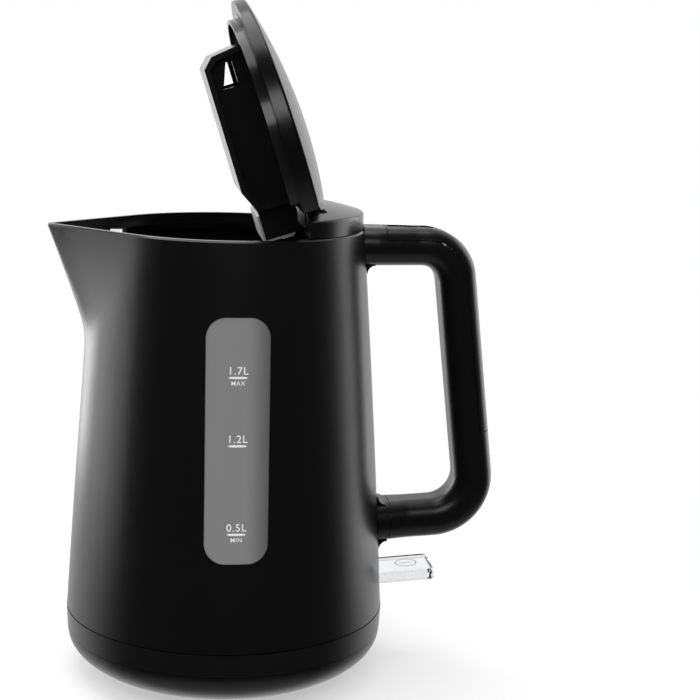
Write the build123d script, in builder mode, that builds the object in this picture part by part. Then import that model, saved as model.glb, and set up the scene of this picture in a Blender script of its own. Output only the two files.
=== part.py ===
# Cordless electric kettle on its power base, lid open.
# Millimetres. +Z is up, the handle points along +X, the spout along -X and the level window faces -Y.
# The origin is on the table, at the middle of the power base.
import os
from math import acos, atan2, cos, hypot, pi, radians, sin, sqrt, tan

from build123d import *

os.makedirs("parts", exist_ok=True)

# Fits and clearances
seam = 0.4            # open line between two mouldings of the same body
slip = 0.1            # between a piece and the seat it is fixed in
free = 0.3            # between bodies that move past each other
running = 0.05        # radial clearance of a pin in a turning hole
overrun = 5.0         # how far a cut passes the surface it cuts

# Power base
base_radius = 80.9
base_height = 22.0
base_foot_radius = 44.0
base_foot_lift = 1.0
base_wall = 2.5
cover_radius = 56.0
foot_inner_radius = 46.0
foot_outer_radius = 54.0
foot_seat = 1.0
base_screw_circle = 34.0
base_screw_count = 3
base_screw_start = 30.0

# Round connector between base and kettle
hub_radius = 15.0
hub_flange = 4.0
hub_rise = 11.0
hub_pin_hole = 4.5
hub_slot_radius = 9.5
hub_slot_width = 3.0
hub_slot_depth = 11.0
contact_thickness = 1.0
plug_radius = 17.0
plug_thickness = 6.0

# Cord inlet on the back of the base
inlet_height = 11.0
inlet_radius = 6.0
inlet_bore = 3.6
inlet_length = 11.5
inlet_depth = 14.9

# Screws
screw_radius = 1.5
screw_head_radius = 3.0
screw_head = 1.4
screw_length = 12.0
boss_radius = 4.0

# Bottom ring and underside of the kettle
band_height = 11.8
band_proud = 0.2
band_flare = 0.5
spigot_height = 3.5
spigot_wall = 2.4
underside_thickness = 2.4
underside_lift = 0.6
underside_hole = 18.0
underside_screw_inset = 7.1
underside_screw_count = 3
underside_screw_start = 60.0

# Jug
jug_rim_radius = 67.0
jug_bulge = 2.7
jug_height = 195.4
jug_wall = 3.0
rim_chamfer = 0.8
section_spacing = 6.5

# Spout
spout_reach_at_rim = 90.8
spout_slope = 0.37
spout_softness = 3.0
spout_start_drop = 69.0
spout_tip_radius = 4.5
spout_tip_fade = 1.7
spout_root_inset = 8.0

# Heating plate and what lies under it
plate_rise = 37.0
plate_thickness = 1.5
plate_ledge = 6.6
ledge_thickness = 2.5
seal_width = 2.0
seal_height = 2.4
spreader_radius = 50.0
spreader_thickness = 3.0
element_circle = 38.0
element_width = 8.0
element_depth = 6.0
element_turn = 300.0
tail_radius = 2.0
tail_length = 9.0
disc_radius = 8.0
disc_thickness = 1.0
disc_spacing = 22.0
control_length = 50.0
control_width = 44.0
trip_rod_section = 5.0
trip_rod_gap = 1.0
steam_tube_radius = 4.5
steam_tube_wall = 1.0
steam_tube_gap = 1.9
steam_tube_tail = 10.0
steam_tube_drop = 22.2

# Level window
window_rise = 43.7
window_drop = 35.1
window_width = 30.4
window_corner = 9.75
window_recess = 0.35
window_flange = 3.0
window_flange_thickness = 1.5

# Mouth ring with the bridge and the filter
ledge_drop = 5.0
mouth_thickness = 3.0
mouth_ledge = 5.5
bridge_inset = 5.0
bridge_width = 10.0
filter_width = 40.0
filter_thickness = 3.0
filter_drop = 46.0
filter_border = 3.5
filter_lip = 1.5
filter_lip_thickness = 1.0
mesh_thickness = 0.6
mesh_columns = 9
mesh_rows = 10
mesh_bar = 0.7

# Lid, hinge and hinge housing
lid_inset = 0.6
lid_front = 4.0
lid_wall = 2.5
lid_chord_x = 32.2
lid_edge_round = 1.6
dome_apex_above_rim = 17.4
dome_radius = 235.0
dome_shift = 3.0
lid_open_angle = 72.1
pivot_x = 39.6
pivot_above_rim = 7.7
pin_radius = 1.75
pin_half_length = 46.0
eye_radius = 5.0
lug_position = 34.0
lug_width = 6.0
lug_height = 5.0
lug_gap = 0.5
housing_chord_x = 33.8
housing_wall = 2.5
nose_radius = 7.0
barrel_radius = 8.0
spring_bay = 9.0
spring_wire = 0.6
spring_radius = 2.9
spring_turns = 7
spring_pitch = 1.9
spring_low_leg = 3.2
spring_high_leg = 6.2

# Lid liner
liner_plate = 2.0
skirt_inset = 2.0
skirt_wall = 2.0
skirt_depth = 4.4
skirt_end_x = 27.0
tub_depth = 23.6
tub_wall = 2.4
tub_half_width = 28.0
tub_front_gap = 4.0
tub_front_slope = 5.0
tub_rear_slope = 11.0
tub_rear_x = 29.0
tub_end_rise = 5.0
tub_border = 2.6
tub_panel_depth = 6.0
tub_window_start = 4.5
tub_window_length = 12.0
tub_window_rise = 1.5
tub_window_front = 3.0
tub_window_height = 7.5
tail_half_width = 24.0
tail_end_x = 44.0
catch_thickness = 1.0
catch_rib_count = 4
catch_rib_radius = 0.7
catch_rib_pitch = 1.5

# Handle, its outline in the XZ plane
handle_top_rise = 1.0
handle_top_corner_x = 122.3
handle_lean = 0.1245
handle_bottom_rise = 31.4
handle_bottom_slope = 5.0
handle_top_round = 27.0
handle_bottom_round = 32.0
handle_top_arm = 19.2
grip_top_corner_x = 104.9
handle_bottom_arm = 19.8
handle_grip_slope = 4.1
grip_top_round = 9.3
grip_bottom_round = 13.0
handle_width = 27.0
handle_root_width = 32.0
handle_root_end_x = 74.0
handle_flare_end_x = 94.0
handle_flare_round = 18.0
handle_outer_edge = 9.0
handle_inner_edge = 9.0
spine_thickness = 6.0
spine_start_x = 77.5
spine_drop = 105.0
handle_cavity_width = 16.0
handle_cavity_floor = 4.0
handle_cavity_drop = 100.0
handle_screw_offset = 10.7
handle_screw_drop = 12.5
handle_screw_length = 16.0
handle_gusset = 4.0
handle_gusset_width = 20.0
root_seam_depth = 0.6

# Release button and latch
button_length = 24.0
button_width = 12.0
button_centre_x = 91.0
button_thickness = 4.4
button_sunk = 0.7
button_dish = 0.9
button_travel = 3.0
button_stem_x = 81.0
button_stem_length = 4.0
button_stem_tip = 1.0
button_stem_width = 5.0
button_spring_x = 99.0
button_spring_radius = 2.6
button_spring_wall = 0.8
spring_seat_radius = 3.6
spring_seat_rise = 0.5
latch_width = 5.0
latch_thickness = 2.5
latch_lift = 0.5
latch_end_x = 91.0
latch_guide_x = 54.5
latch_guide_length = 5.0
latch_guide_wall = 3.0

# Switch lever
lever_pivot_inset = 11.13
lever_lift = 21.4
lever_tail = 5.5
lever_overhang = 28.9
lever_thickness = 6.0
lever_width = 28.0
lever_rise = 4.2
lever_press = 9.0
lever_tip_chamfer = 1.6
lever_corner = 3.0
lever_pin_radius = 1.5
cheek_width = 7.0
cheek_thickness = 2.4
cheek_rise = 4.1

# Heights and places that follow from the sizes above
inlet_front = base_radius - inlet_depth
base_deck = base_height - free
base_deck_under = base_deck - base_wall
band_top = base_height + band_height
jug_bottom = band_top
jug_bottom_radius = base_radius + band_flare
rim = jug_bottom + jug_height
spout_start = rim - spout_start_drop
underside_bottom = base_height + underside_lift
underside_top = underside_bottom + underside_thickness
hub_top = base_height + hub_rise
plate_height = underside_top + plate_rise
plug_bottom = hub_top + free
plug_top = plug_bottom + plug_thickness
control_bottom = plug_top + free
spreader_bottom = plate_height - spreader_thickness
control_top = spreader_bottom - disc_thickness
plate_top = plate_height + plate_thickness
ledge_under = plate_height - ledge_thickness
steam_tube_foot = plate_height - steam_tube_tail
steam_tube_top = rim - steam_tube_drop
window_bottom = jug_bottom + window_rise
window_top = rim - window_drop
mouth_top = rim - ledge_drop
mouth_under = mouth_top - mouth_thickness
bridge_outer_x = bridge_inset - jug_rim_radius
bridge_inner_x = bridge_outer_x + bridge_width
lid_radius = jug_rim_radius - lid_inset
lid_under = rim
pivot_z = rim + pivot_above_rim
dome_apex = rim + dome_apex_above_rim
dome_centre_z = dome_apex - dome_radius
liner_bottom = lid_under - tub_depth
skirt_radius = jug_rim_radius - jug_wall - skirt_inset
tub_front_x = bridge_inner_x + tub_front_gap
tub_floor_front_x = tub_front_x + tub_front_slope
tub_floor_rear_x = tub_rear_x - tub_rear_slope
handle_top = rim + handle_top_rise
grip_top = handle_top - handle_top_arm
handle_bottom_root_z = jug_bottom + handle_bottom_rise
handle_bottom_corner_z = handle_bottom_root_z + handle_bottom_slope
grip_bottom = handle_bottom_root_z + handle_bottom_arm
grip_bottom_corner_z = grip_bottom + handle_grip_slope
spine_end_z = handle_top - spine_drop
handle_cavity_end_z = handle_top - handle_cavity_drop
spine_under = handle_top - spine_thickness
cavity_floor_z = grip_top + handle_cavity_floor
latch_bottom = cavity_floor_z + latch_lift
latch_top = latch_bottom + latch_thickness
latch_nose_x = tail_end_x + catch_thickness + 2 * free
hinge_axis = Axis((pivot_x, 0, pivot_z), (0, 1, 0))
lever_pivot_z = underside_top + lever_lift
cheek_top = lever_pivot_z + cheek_rise


def jug_radius(z):
    """Outer radius of the jug wall at a height, narrowing upwards with a slight bulge."""
    share = (z - jug_bottom) / jug_height
    taper = jug_rim_radius - jug_bottom_radius
    return jug_bottom_radius + taper * share + jug_bulge * share * (1 - share)


def spout_reach(z):
    """How far the spout's ridge stands from the axis: on the wall below, on a straight line above."""
    lead = spout_reach_at_rim - spout_slope * (rim - z) - jug_radius(z)
    return jug_radius(z) + (lead + sqrt(lead**2 + spout_softness**2)) / 2


def spout_ridge(z):
    """Radius of the spout's ridge, from nearly the wall's own radius to the sharp pouring tip."""
    share = min(max((z - spout_start) / spout_start_drop, 0), 1)
    root = jug_radius(z) - spout_root_inset
    return spout_tip_radius + (root - spout_tip_radius) * (1 - share) ** spout_tip_fade


# Angles from the spout's ridge at which the jug's sections are drawn, close together round the tip
ridge_angles = [0, 1, 2, 3, 4.5, 6.5, 9, 12, 16, 20, 25, 31, 38, 46, 56, 68, 82, 100, 120, 140, 160]
section_angles = [-180] + [-angle for angle in reversed(ridge_angles)] + ridge_angles[1:]
section_turns = [radians(angle) for angle in section_angles]
section_steps = section_turns + [section_turns[0] + 2 * pi]


def section_reach(z, inset, turn):
    """Distance of the jug's surface from the axis: the round wall, a tangent flank or the spout's ridge."""
    wall = jug_radius(z) - inset
    ridge = max(spout_ridge(z) - inset, spout_tip_radius / 3)
    centre = spout_reach(z) - inset - ridge
    opening = acos((wall - ridge) / centre)
    tip_half = atan2(ridge * sin(opening), centre + ridge * cos(opening))
    if abs(turn) >= opening:
        return wall
    if abs(turn) > tip_half:
        return wall / cos(opening - abs(turn))
    return centre * cos(turn) + sqrt(ridge**2 - (centre * sin(turn)) ** 2)


def jug_section(z, inset):
    """A level section of the jug, set in from its outer surface."""
    points = []
    for turn in section_turns:
        reach = section_reach(z, inset, turn)
        points.append(Vector(-reach * cos(turn), -reach * sin(turn), z))
    outline = Edge.make_spline(points, periodic=True, parameters=section_steps)
    return Face(Wire([outline]))


def section_heights(low, high):
    """Heights for a loft of the jug, evenly spaced."""
    count = round((high - low) / section_spacing)
    return [low + (high - low) * n / count for n in range(count + 1)]


def wall_curve(offset, low, high):
    """Points on the jug's side at a distance from its outer surface, for a profile in the XZ plane."""
    return [(jug_radius(low + (high - low) * n / 6) + offset, low + (high - low) * n / 6) for n in range(7)]


def wall_ring(outer_offset, inner_offset, low, high):
    """A turned ring that follows the jug's side."""
    outer = wall_curve(outer_offset, low, high)
    inner = wall_curve(inner_offset, low, high)
    with BuildSketch(Plane.XZ) as profile:
        with BuildLine():
            Spline(*outer)
            Line(outer[-1], inner[-1])
            Spline(*inner)
            Line(inner[0], outer[0])
        make_face()
    revolve(profile.sketch, axis=Axis.Z)


def cut_jug_outside(gap, low, high):
    """Trims a piece back to the jug's outer surface."""
    outer = wall_curve(gap, low, high)
    with BuildSketch(Plane.XZ) as profile:
        with BuildLine():
            Spline(*outer)
            Polyline(outer[-1], (0, high), (0, low), outer[0])
        make_face()
    revolve(profile.sketch, axis=Axis.Z, mode=Mode.SUBTRACT)


def ring(outer, inner, low, high, mode=Mode.ADD):
    """A plain ring about the kettle's axis."""
    with BuildSketch(Plane.XY.offset(low)) as outline:
        Circle(outer)
        Circle(inner, mode=Mode.SUBTRACT)
    extrude(outline.sketch, amount=high - low, mode=mode)


def disc(radius, low, high, mode=Mode.ADD, x=0.0, y=0.0):
    """A plain upright cylinder."""
    with BuildSketch(Plane.XY.offset(low)) as outline:
        with Locations((x, y)):
            Circle(radius)
    extrude(outline.sketch, amount=high - low, mode=mode)


def block(x, y, z, mode=Mode.ADD):
    """A block between two places on each axis."""
    middle = [(pair[0] + pair[1]) / 2 for pair in (x, y, z)]
    with Locations(tuple(middle)):
        Box(x[1] - x[0], y[1] - y[0], z[1] - z[0], mode=mode)


def rod_y(x, z, radius, low, high, mode=Mode.ADD):
    """A round bar along Y."""
    with BuildSketch(Plane.XZ.offset(-high)) as outline:
        with Locations((x, z)):
            Circle(radius)
    extrude(outline.sketch, amount=high - low, mode=mode)


def rod_x(y, z, radius, low, high, mode=Mode.ADD):
    """A round bar along X."""
    with BuildSketch(Plane.YZ.offset(low)) as outline:
        with Locations((y, z)):
            Circle(radius)
    extrude(outline.sketch, amount=high - low, mode=mode)


def circle_places(radius, count, start=0.0):
    """Places evenly round a circle, from a start angle in degrees."""
    angles = [radians(start) + 2 * pi * n / count for n in range(count)]
    return [(radius * cos(angle), radius * sin(angle)) for angle in angles]


def finish(piece, name):
    """Names a finished piece and writes it."""
    piece.label = name
    export_step(piece, f"parts/{name}.step")


# Power base: a bowl-shaped skin whose flank is a quarter ellipse, with a flat deck on top
def bowl(inset, mode=Mode.ADD):
    """The bowl up to its deck, set in from the outer surface."""
    run = base_radius - base_foot_radius - inset
    rise = base_deck - base_foot_lift - inset
    with BuildSketch(Plane.XZ) as profile:
        with BuildLine():
            EllipticalCenterArc((base_foot_radius, base_deck), run, rise, start_angle=270, arc_size=90)
            Polyline(
                (base_foot_radius + run, base_deck),
                (0, base_deck),
                (0, base_deck - rise),
                (base_foot_radius, base_deck - rise),
            )
        make_face()
    revolve(profile.sketch, axis=Axis.Z, mode=mode)


cover_split = base_foot_lift + 2 * base_wall
cover_inside = base_foot_lift + base_wall
base_screw_places = circle_places(base_screw_circle, base_screw_count, base_screw_start)

with BuildPart() as base_upper_shell:
    bowl(0)
    bowl(base_wall, Mode.SUBTRACT)
    disc(base_radius - base_wall / 2, base_deck_under, base_deck)
    disc(cover_radius + slip, -overrun, cover_split, Mode.SUBTRACT)
    for x, y in base_screw_places:
        disc(boss_radius, cover_inside, base_deck_under, x=x, y=y)
        disc(screw_radius + slip, cover_inside - overrun, screw_length + base_foot_lift, Mode.SUBTRACT, x, y)
    disc(hub_radius + slip, base_deck_under - slip, base_deck + overrun, Mode.SUBTRACT)
    rod_y(0, inlet_height, inlet_radius + slip, inlet_front, base_radius + overrun, Mode.SUBTRACT)
finish(base_upper_shell.part, "base_upper_shell")

with BuildPart() as base_lower_cover:
    bowl(0)
    bowl(base_wall, Mode.SUBTRACT)
    disc(cover_radius, -overrun, cover_split, Mode.INTERSECT)
    foot_roof = base_foot_lift + foot_seat
    ring(foot_outer_radius + slip, foot_inner_radius - slip, -overrun, foot_roof, Mode.SUBTRACT)
    for x, y in base_screw_places:
        disc(screw_radius + slip, -overrun, cover_split, Mode.SUBTRACT, x, y)
        disc(screw_head_radius + slip, -overrun, base_foot_lift + screw_head, Mode.SUBTRACT, x, y)
finish(base_lower_cover.part, "base_lower_cover")

with BuildPart() as foot_ring:
    ring(foot_outer_radius, foot_inner_radius, 0, foot_roof)
finish(foot_ring.part, "foot_ring")

with BuildPart() as base_screws:
    for x, y in base_screw_places:
        disc(screw_head_radius, base_foot_lift, base_foot_lift + screw_head, x=x, y=y)
        disc(screw_radius, base_foot_lift, base_foot_lift + screw_length, x=x, y=y)
finish(base_screws.part, "base_screws")

# Bush in the back of the base that the supply lead passes through
with BuildPart() as cord_inlet:
    inlet_back = inlet_front + inlet_length
    rod_y(0, inlet_height, inlet_radius, inlet_front, inlet_back)
    rod_y(0, inlet_height, inlet_bore, inlet_front - overrun, inlet_back + overrun, Mode.SUBTRACT)
finish(cord_inlet.part, "cord_inlet")

# Round connector: a hub on the base, with a pin hole and a ring slot, and the kettle's plug above it
hub_floor = hub_top - hub_slot_depth
slot_outer = hub_slot_radius + hub_slot_width / 2
slot_inner = hub_slot_radius - hub_slot_width / 2
contact_top = hub_floor + contact_thickness

with BuildPart() as base_connector:
    disc(hub_radius + hub_flange, base_deck_under - base_wall, base_deck_under)
    disc(hub_radius, base_deck_under - base_wall, hub_top)
    disc(hub_pin_hole, hub_floor, hub_top + overrun, Mode.SUBTRACT)
    ring(slot_outer, slot_inner, hub_floor, hub_top + overrun, Mode.SUBTRACT)
finish(base_connector.part, "base_connector")

with BuildPart() as base_contacts:
    disc(hub_pin_hole - free, hub_floor, contact_top)
    ring(slot_outer - free, slot_inner + free, hub_floor, contact_top)
finish(base_contacts.part, "base_contacts")

with BuildPart() as connector_plug:
    disc(plug_radius, plug_bottom, plug_top)
finish(connector_plug.part, "connector_plug")

with BuildPart() as connector_pins:
    disc(hub_pin_hole - free, contact_top + free, plug_bottom)
    ring(slot_outer - free, slot_inner + free, contact_top + free, plug_bottom)
finish(connector_pins.part, "connector_pins")

# Bottom ring: the band between the two seams, with a spigot up into the jug and a lip over the cover
spigot_radius = jug_radius(band_top + spigot_height) - jug_wall - slip
underside_radius = spigot_radius - slip
underside_screw_circle = spigot_radius - underside_screw_inset
underside_screw_places = circle_places(underside_screw_circle, underside_screw_count, underside_screw_start)

with BuildPart() as bottom_ring:
    with BuildSketch(Plane.XZ):
        with BuildLine():
            Polyline(
                (base_radius + band_proud, base_height),
                (jug_bottom_radius + band_proud, band_top - seam),
                (spigot_radius, band_top - seam),
                (spigot_radius, band_top + spigot_height),
                (spigot_radius - spigot_wall, band_top + spigot_height),
                (spigot_radius - spigot_wall, underside_top),
                (underside_radius + slip, underside_top),
                (underside_radius + slip, base_height),
                close=True,
            )
        make_face()
    revolve(axis=Axis.Z)
finish(bottom_ring.part, "bottom_ring")

# Underside cover, with two cheeks that carry the switch lever's pin
wall_at_lever = jug_radius(lever_pivot_z)
lever_pivot_x = wall_at_lever - lever_pivot_inset
lever_inner_x = lever_pivot_x - lever_tail
lever_outer_x = wall_at_lever + lever_overhang
lever_axis = Axis((lever_pivot_x, 0, lever_pivot_z), (0, 1, 0))
cheek_inner = lever_width / 2 + 2 * free
cheek_outer = cheek_inner + cheek_thickness

with BuildPart() as underside_cover:
    ring(underside_radius, underside_hole, underside_bottom, underside_top)
    for x, y in underside_screw_places:
        disc(screw_radius + slip, underside_bottom - overrun, underside_top, Mode.SUBTRACT, x, y)
        disc(screw_head_radius + slip, base_height, underside_bottom + screw_head, Mode.SUBTRACT, x, y)
    cheek_x = (lever_pivot_x - cheek_width / 2, lever_pivot_x + cheek_width / 2)
    for side in ((-cheek_outer, -cheek_inner), (cheek_inner, cheek_outer)):
        block(cheek_x, side, (underside_top, cheek_top))
    rod_y(lever_pivot_x, lever_pivot_z, lever_pin_radius + slip, -cheek_outer, cheek_outer, Mode.SUBTRACT)
finish(underside_cover.part, "underside_cover")

with BuildPart() as underside_screws:
    for x, y in underside_screw_places:
        disc(screw_head_radius, underside_bottom, underside_bottom + screw_head, x=x, y=y)
        disc(screw_radius, underside_bottom, underside_bottom + screw_length, x=x, y=y)
finish(underside_screws.part, "underside_screws")

# Jug: a tapered wall drawn out into the spout, with a ledge inside for the heating plate
ledge_radius = jug_radius(plate_height) - jug_wall - plate_ledge
window_middle = (window_bottom + window_top) / 2
window_height = window_top - window_bottom
lever_slot_half = lever_width / 2 + free
lever_half = lever_thickness / 2 + 2 * free
lever_slot_low = lever_pivot_z - lever_half - lever_pivot_inset * tan(radians(lever_press - lever_rise))
lever_slot_high = lever_pivot_z + lever_half + lever_pivot_inset * tan(radians(lever_rise))
latch_slot_half = latch_width / 2 + free
steam_tube_x = jug_radius(steam_tube_top) - jug_wall - steam_tube_radius - steam_tube_gap
handle_screw_z = handle_top - handle_screw_drop
handle_screw_x = jug_radius(handle_screw_z) - jug_wall - boss_radius / 2
handle_screw_sides = (-handle_screw_offset, handle_screw_offset)

with BuildPart() as jug_body:
    loft([jug_section(z, 0) for z in section_heights(jug_bottom, rim - rim_chamfer)])
    loft([jug_section(rim - rim_chamfer, 0), jug_section(rim, rim_chamfer)], ruled=True)
    loft([jug_section(z, jug_wall) for z in section_heights(plate_height, rim + overrun)], mode=Mode.SUBTRACT)
    cut_jug_outside(-jug_wall, jug_bottom - overrun, ledge_under)
    disc(ledge_radius, ledge_under - slip, plate_height + slip, Mode.SUBTRACT)
    disc(steam_tube_radius + slip, steam_tube_foot, plate_height + slip, Mode.SUBTRACT, steam_tube_x)
    for x, y in underside_screw_places:
        disc(boss_radius, underside_top, ledge_under, x=x, y=y)
        disc(screw_radius + slip, underside_top, underside_bottom + screw_length, Mode.SUBTRACT, x, y)
    with BuildSketch(Plane.XZ):
        with Locations((0, window_middle)):
            RectangleRounded(window_width, window_height, window_corner)
    extrude(amount=jug_bottom_radius + overrun, mode=Mode.SUBTRACT)
    block(
        (wall_at_lever - jug_wall - overrun, wall_at_lever + overrun),
        (-lever_slot_half, lever_slot_half),
        (lever_slot_low, lever_slot_high),
        Mode.SUBTRACT,
    )
    block(
        (jug_rim_radius - jug_wall - overrun, jug_rim_radius + overrun),
        (-latch_slot_half, latch_slot_half),
        (latch_bottom - free, latch_top + free),
        Mode.SUBTRACT,
    )
    for y in handle_screw_sides:
        rod_x(y, handle_screw_z, screw_radius + slip, 0, jug_rim_radius + overrun, Mode.SUBTRACT)
finish(jug_body.part, "jug_body")

# Level window: a pane in the opening and a flange behind the wall
with BuildPart() as window_pane:
    inner_face = -jug_wall - slip - window_flange_thickness
    wall_ring(-window_recess, inner_face, window_bottom - overrun, window_top + overrun)
    with BuildSketch(Plane.XZ):
        with Locations((0, window_middle)):
            RectangleRounded(window_width - 2 * slip, window_height - 2 * slip, window_corner - slip)
    extrude(amount=jug_bottom_radius + overrun, mode=Mode.INTERSECT)

with BuildPart() as level_window:
    wall_ring(-jug_wall - slip, inner_face, window_bottom - overrun, window_top + overrun)
    with BuildSketch(Plane.XZ):
        with Locations((0, window_middle)):
            flange_width = window_width + 2 * window_flange
            flange_height = window_height + 2 * window_flange
            RectangleRounded(flange_width, flange_height, window_corner + window_flange)
    extrude(amount=jug_bottom_radius + overrun, mode=Mode.INTERSECT)
    add(window_pane.part)
finish(level_window.part, "level_window")

# Heating plate on its ledge, its seal, and the heat spreader and element under it
seal_outer = jug_radius(plate_height + seal_height) - jug_wall - slip
plate_radius = seal_outer - seal_width - slip

with BuildPart() as element_seal:
    ring(seal_outer, seal_outer - seal_width, plate_height, plate_height + seal_height)
finish(element_seal.part, "element_seal")

with BuildPart() as heating_plate:
    disc(plate_radius, plate_height, plate_top)
    disc(steam_tube_radius + slip, plate_height - overrun, plate_top + overrun, Mode.SUBTRACT, steam_tube_x)
finish(heating_plate.part, "heating_plate")

with BuildPart() as heat_spreader:
    disc(spreader_radius, spreader_bottom, plate_height)
finish(heat_spreader.part, "heat_spreader")

with BuildPart() as heating_element:
    with BuildSketch(Plane.XZ) as tube_section:
        with Locations((element_circle, spreader_bottom - element_depth / 2)):
            Rectangle(element_width, element_depth)
        fillet(tube_section.vertices().group_by(Axis.Z)[0], element_depth / 2)
    revolve(axis=Axis.Z, revolution_arc=element_turn)
    for turn in (0, element_turn):
        angle = radians(turn - 2 * tail_radius if turn else 2 * tail_radius)
        tail_x = element_circle * cos(angle)
        tail_y = element_circle * sin(angle)
        tail_foot = spreader_bottom - element_depth - tail_length
        disc(tail_radius, tail_foot, spreader_bottom - element_depth / 2, x=tail_x, y=tail_y)
element_start = 180 - element_turn / 2
finish(heating_element.part.rotate(Axis.Z, element_start - 180), "heating_element")

with BuildPart() as bimetal_discs:
    for x in (-disc_spacing / 2, disc_spacing / 2):
        disc(disc_radius, control_top, spreader_bottom, x=x)
finish(bimetal_discs.part, "bimetal_discs")

with BuildPart() as thermostat_control:
    half_length = control_length / 2
    half_width = control_width / 2
    block((-half_length, half_length), (-half_width, half_width), (control_bottom, control_top))
finish(thermostat_control.part, "thermostat_control")

with BuildPart() as trip_rod:
    half = trip_rod_section / 2
    rod_end = lever_inner_x - trip_rod_gap
    block((control_length / 2, rod_end), (-half, half), (lever_pivot_z - half, lever_pivot_z + half))
finish(trip_rod.part, "trip_rod")

with BuildPart() as steam_tube:
    disc(steam_tube_radius, steam_tube_foot, steam_tube_top, x=steam_tube_x)
    bore = steam_tube_radius - steam_tube_wall
    disc(bore, steam_tube_foot - overrun, steam_tube_top + overrun, Mode.SUBTRACT, steam_tube_x)
finish(steam_tube.part, "steam_tube")

# Mouth ring: a ledge round the filling hole, a bridge before the spout and a deck under the hinge
mouth_radius = jug_radius(mouth_top) - jug_wall - slip
mouth_opening_radius = mouth_radius - mouth_ledge
filter_x = (bridge_inner_x + bridge_outer_x) / 2
filter_half = filter_width / 2
filter_depth = filter_thickness / 2
lip_depth = filter_depth + filter_lip
tail_clear = tail_half_width + 5 * free
tail_reach = latch_nose_x + 3 * free

with BuildPart() as mouth_ring:
    disc(mouth_radius, mouth_under, mouth_top)
    with BuildSketch(Plane.XY.offset(mouth_under)):
        Circle(mouth_opening_radius)
        with Locations(((bridge_inner_x + housing_chord_x) / 2, 0)):
            Rectangle(housing_chord_x - bridge_inner_x, 2 * mouth_radius, mode=Mode.INTERSECT)
    extrude(amount=mouth_thickness, mode=Mode.SUBTRACT)
    through = (mouth_under - overrun, mouth_top + overrun)
    block((-mouth_radius - overrun, bridge_outer_x), (-mouth_radius, mouth_radius), through, Mode.SUBTRACT)
    slot_x = (filter_x - filter_depth - slip, filter_x + filter_depth + slip)
    block(slot_x, (-filter_half - slip, filter_half + slip), through, Mode.SUBTRACT)
    pocket_x = (filter_x - lip_depth - slip, filter_x + lip_depth + slip)
    pocket_y = filter_half + filter_lip + slip
    block(pocket_x, (-pocket_y, pocket_y), (mouth_top - filter_lip_thickness, through[1]), Mode.SUBTRACT)
    block((0, tail_reach), (-tail_clear, tail_clear), through, Mode.SUBTRACT)
    guide_x = (latch_guide_x - latch_guide_length / 2, latch_guide_x + latch_guide_length / 2)
    guide_y = latch_slot_half + latch_guide_wall
    block(guide_x, (-guide_y, guide_y), (latch_bottom - latch_guide_wall, mouth_under))
    slot_y = (-latch_slot_half, latch_slot_half)
    block(guide_x, slot_y, (latch_bottom - free, latch_top + free), Mode.SUBTRACT)
finish(mouth_ring.part, "mouth_ring")

# Filter: a frame that drops through the bridge, and its mesh
filter_bottom = mouth_top - filter_drop
net_low = filter_bottom + filter_border
net_high = mouth_under - filter_border
net_half = filter_half - filter_border

with BuildPart() as filter_frame:
    filter_faces = (filter_x - filter_depth, filter_x + filter_depth)
    block(filter_faces, (-filter_half, filter_half), (filter_bottom, mouth_top))
    block(filter_faces, (-net_half, net_half), (net_low, net_high), Mode.SUBTRACT)
    lip_y = filter_half + filter_lip
    lip_z = (mouth_top - filter_lip_thickness, mouth_top)
    block((filter_x - lip_depth, filter_x + lip_depth), (-lip_y, lip_y), lip_z)
finish(filter_frame.part, "filter_frame")

with BuildPart() as filter_mesh:
    net_width = 2 * (net_half - slip)
    net_height = net_high - net_low - 2 * slip
    gap_width = (net_width - mesh_bar) / mesh_columns - mesh_bar
    gap_height = (net_height - mesh_bar) / mesh_rows - mesh_bar
    with BuildSketch(Plane.YZ.offset(filter_x - mesh_thickness / 2)):
        with Locations((0, (net_low + net_high) / 2)):
            Rectangle(net_width, net_height)
            with GridLocations(gap_width + mesh_bar, gap_height + mesh_bar, mesh_columns, mesh_rows):
                Rectangle(gap_width, gap_height, mode=Mode.SUBTRACT)
    extrude(amount=mesh_thickness)
finish(filter_mesh.part, "filter_mesh")


# Lid and hinge housing share one plan circle, parted by a chord, under one shallow dome
def plan_part(radius, low, high, x_low, x_high, mode=Mode.ADD):
    """An upright slab of a disc between two chords."""
    with BuildSketch(Plane.XY.offset(low)) as outline:
        Circle(radius)
        with Locations(((x_low + x_high) / 2, 0)):
            Rectangle(x_high - x_low, 2 * radius, mode=Mode.INTERSECT)
    extrude(outline.sketch, amount=high - low, mode=mode)


def lid_plan(low, high, x_high):
    """An upright slab of the lid's plan: a circle drawn out towards the spout and cut by a chord."""
    with BuildSketch(Plane.XY.offset(low)) as outline:
        with BuildLine():
            EllipticalCenterArc((0, 0), lid_radius + lid_front, lid_radius, start_angle=90, arc_size=180)
            CenterArc((0, 0), lid_radius, -90, 180)
        make_face()
        with Locations((x_high - lid_radius - lid_front, 0)):
            Rectangle(2 * (lid_radius + lid_front), 2 * lid_radius, mode=Mode.INTERSECT)
    extrude(outline.sketch, amount=high - low)


def under_dome(inset):
    """Trims a piece to the dome, or to a surface parallel to it inside."""
    with Locations((dome_shift, 0, dome_centre_z)):
        Sphere(dome_radius - inset, mode=Mode.INTERSECT)


lug_sides = (-lug_position, lug_position)
lid_inside = lid_radius - lid_wall
chord_inside = lid_chord_x - lid_wall
lug_top = pivot_z + lug_height / 2
lug_bottom = pivot_z - lug_height / 2

with BuildPart() as lid_hollow:
    plan_part(lid_inside, rim - overrun, dome_apex, -lid_radius, chord_inside)
    under_dome(lid_wall)

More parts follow.
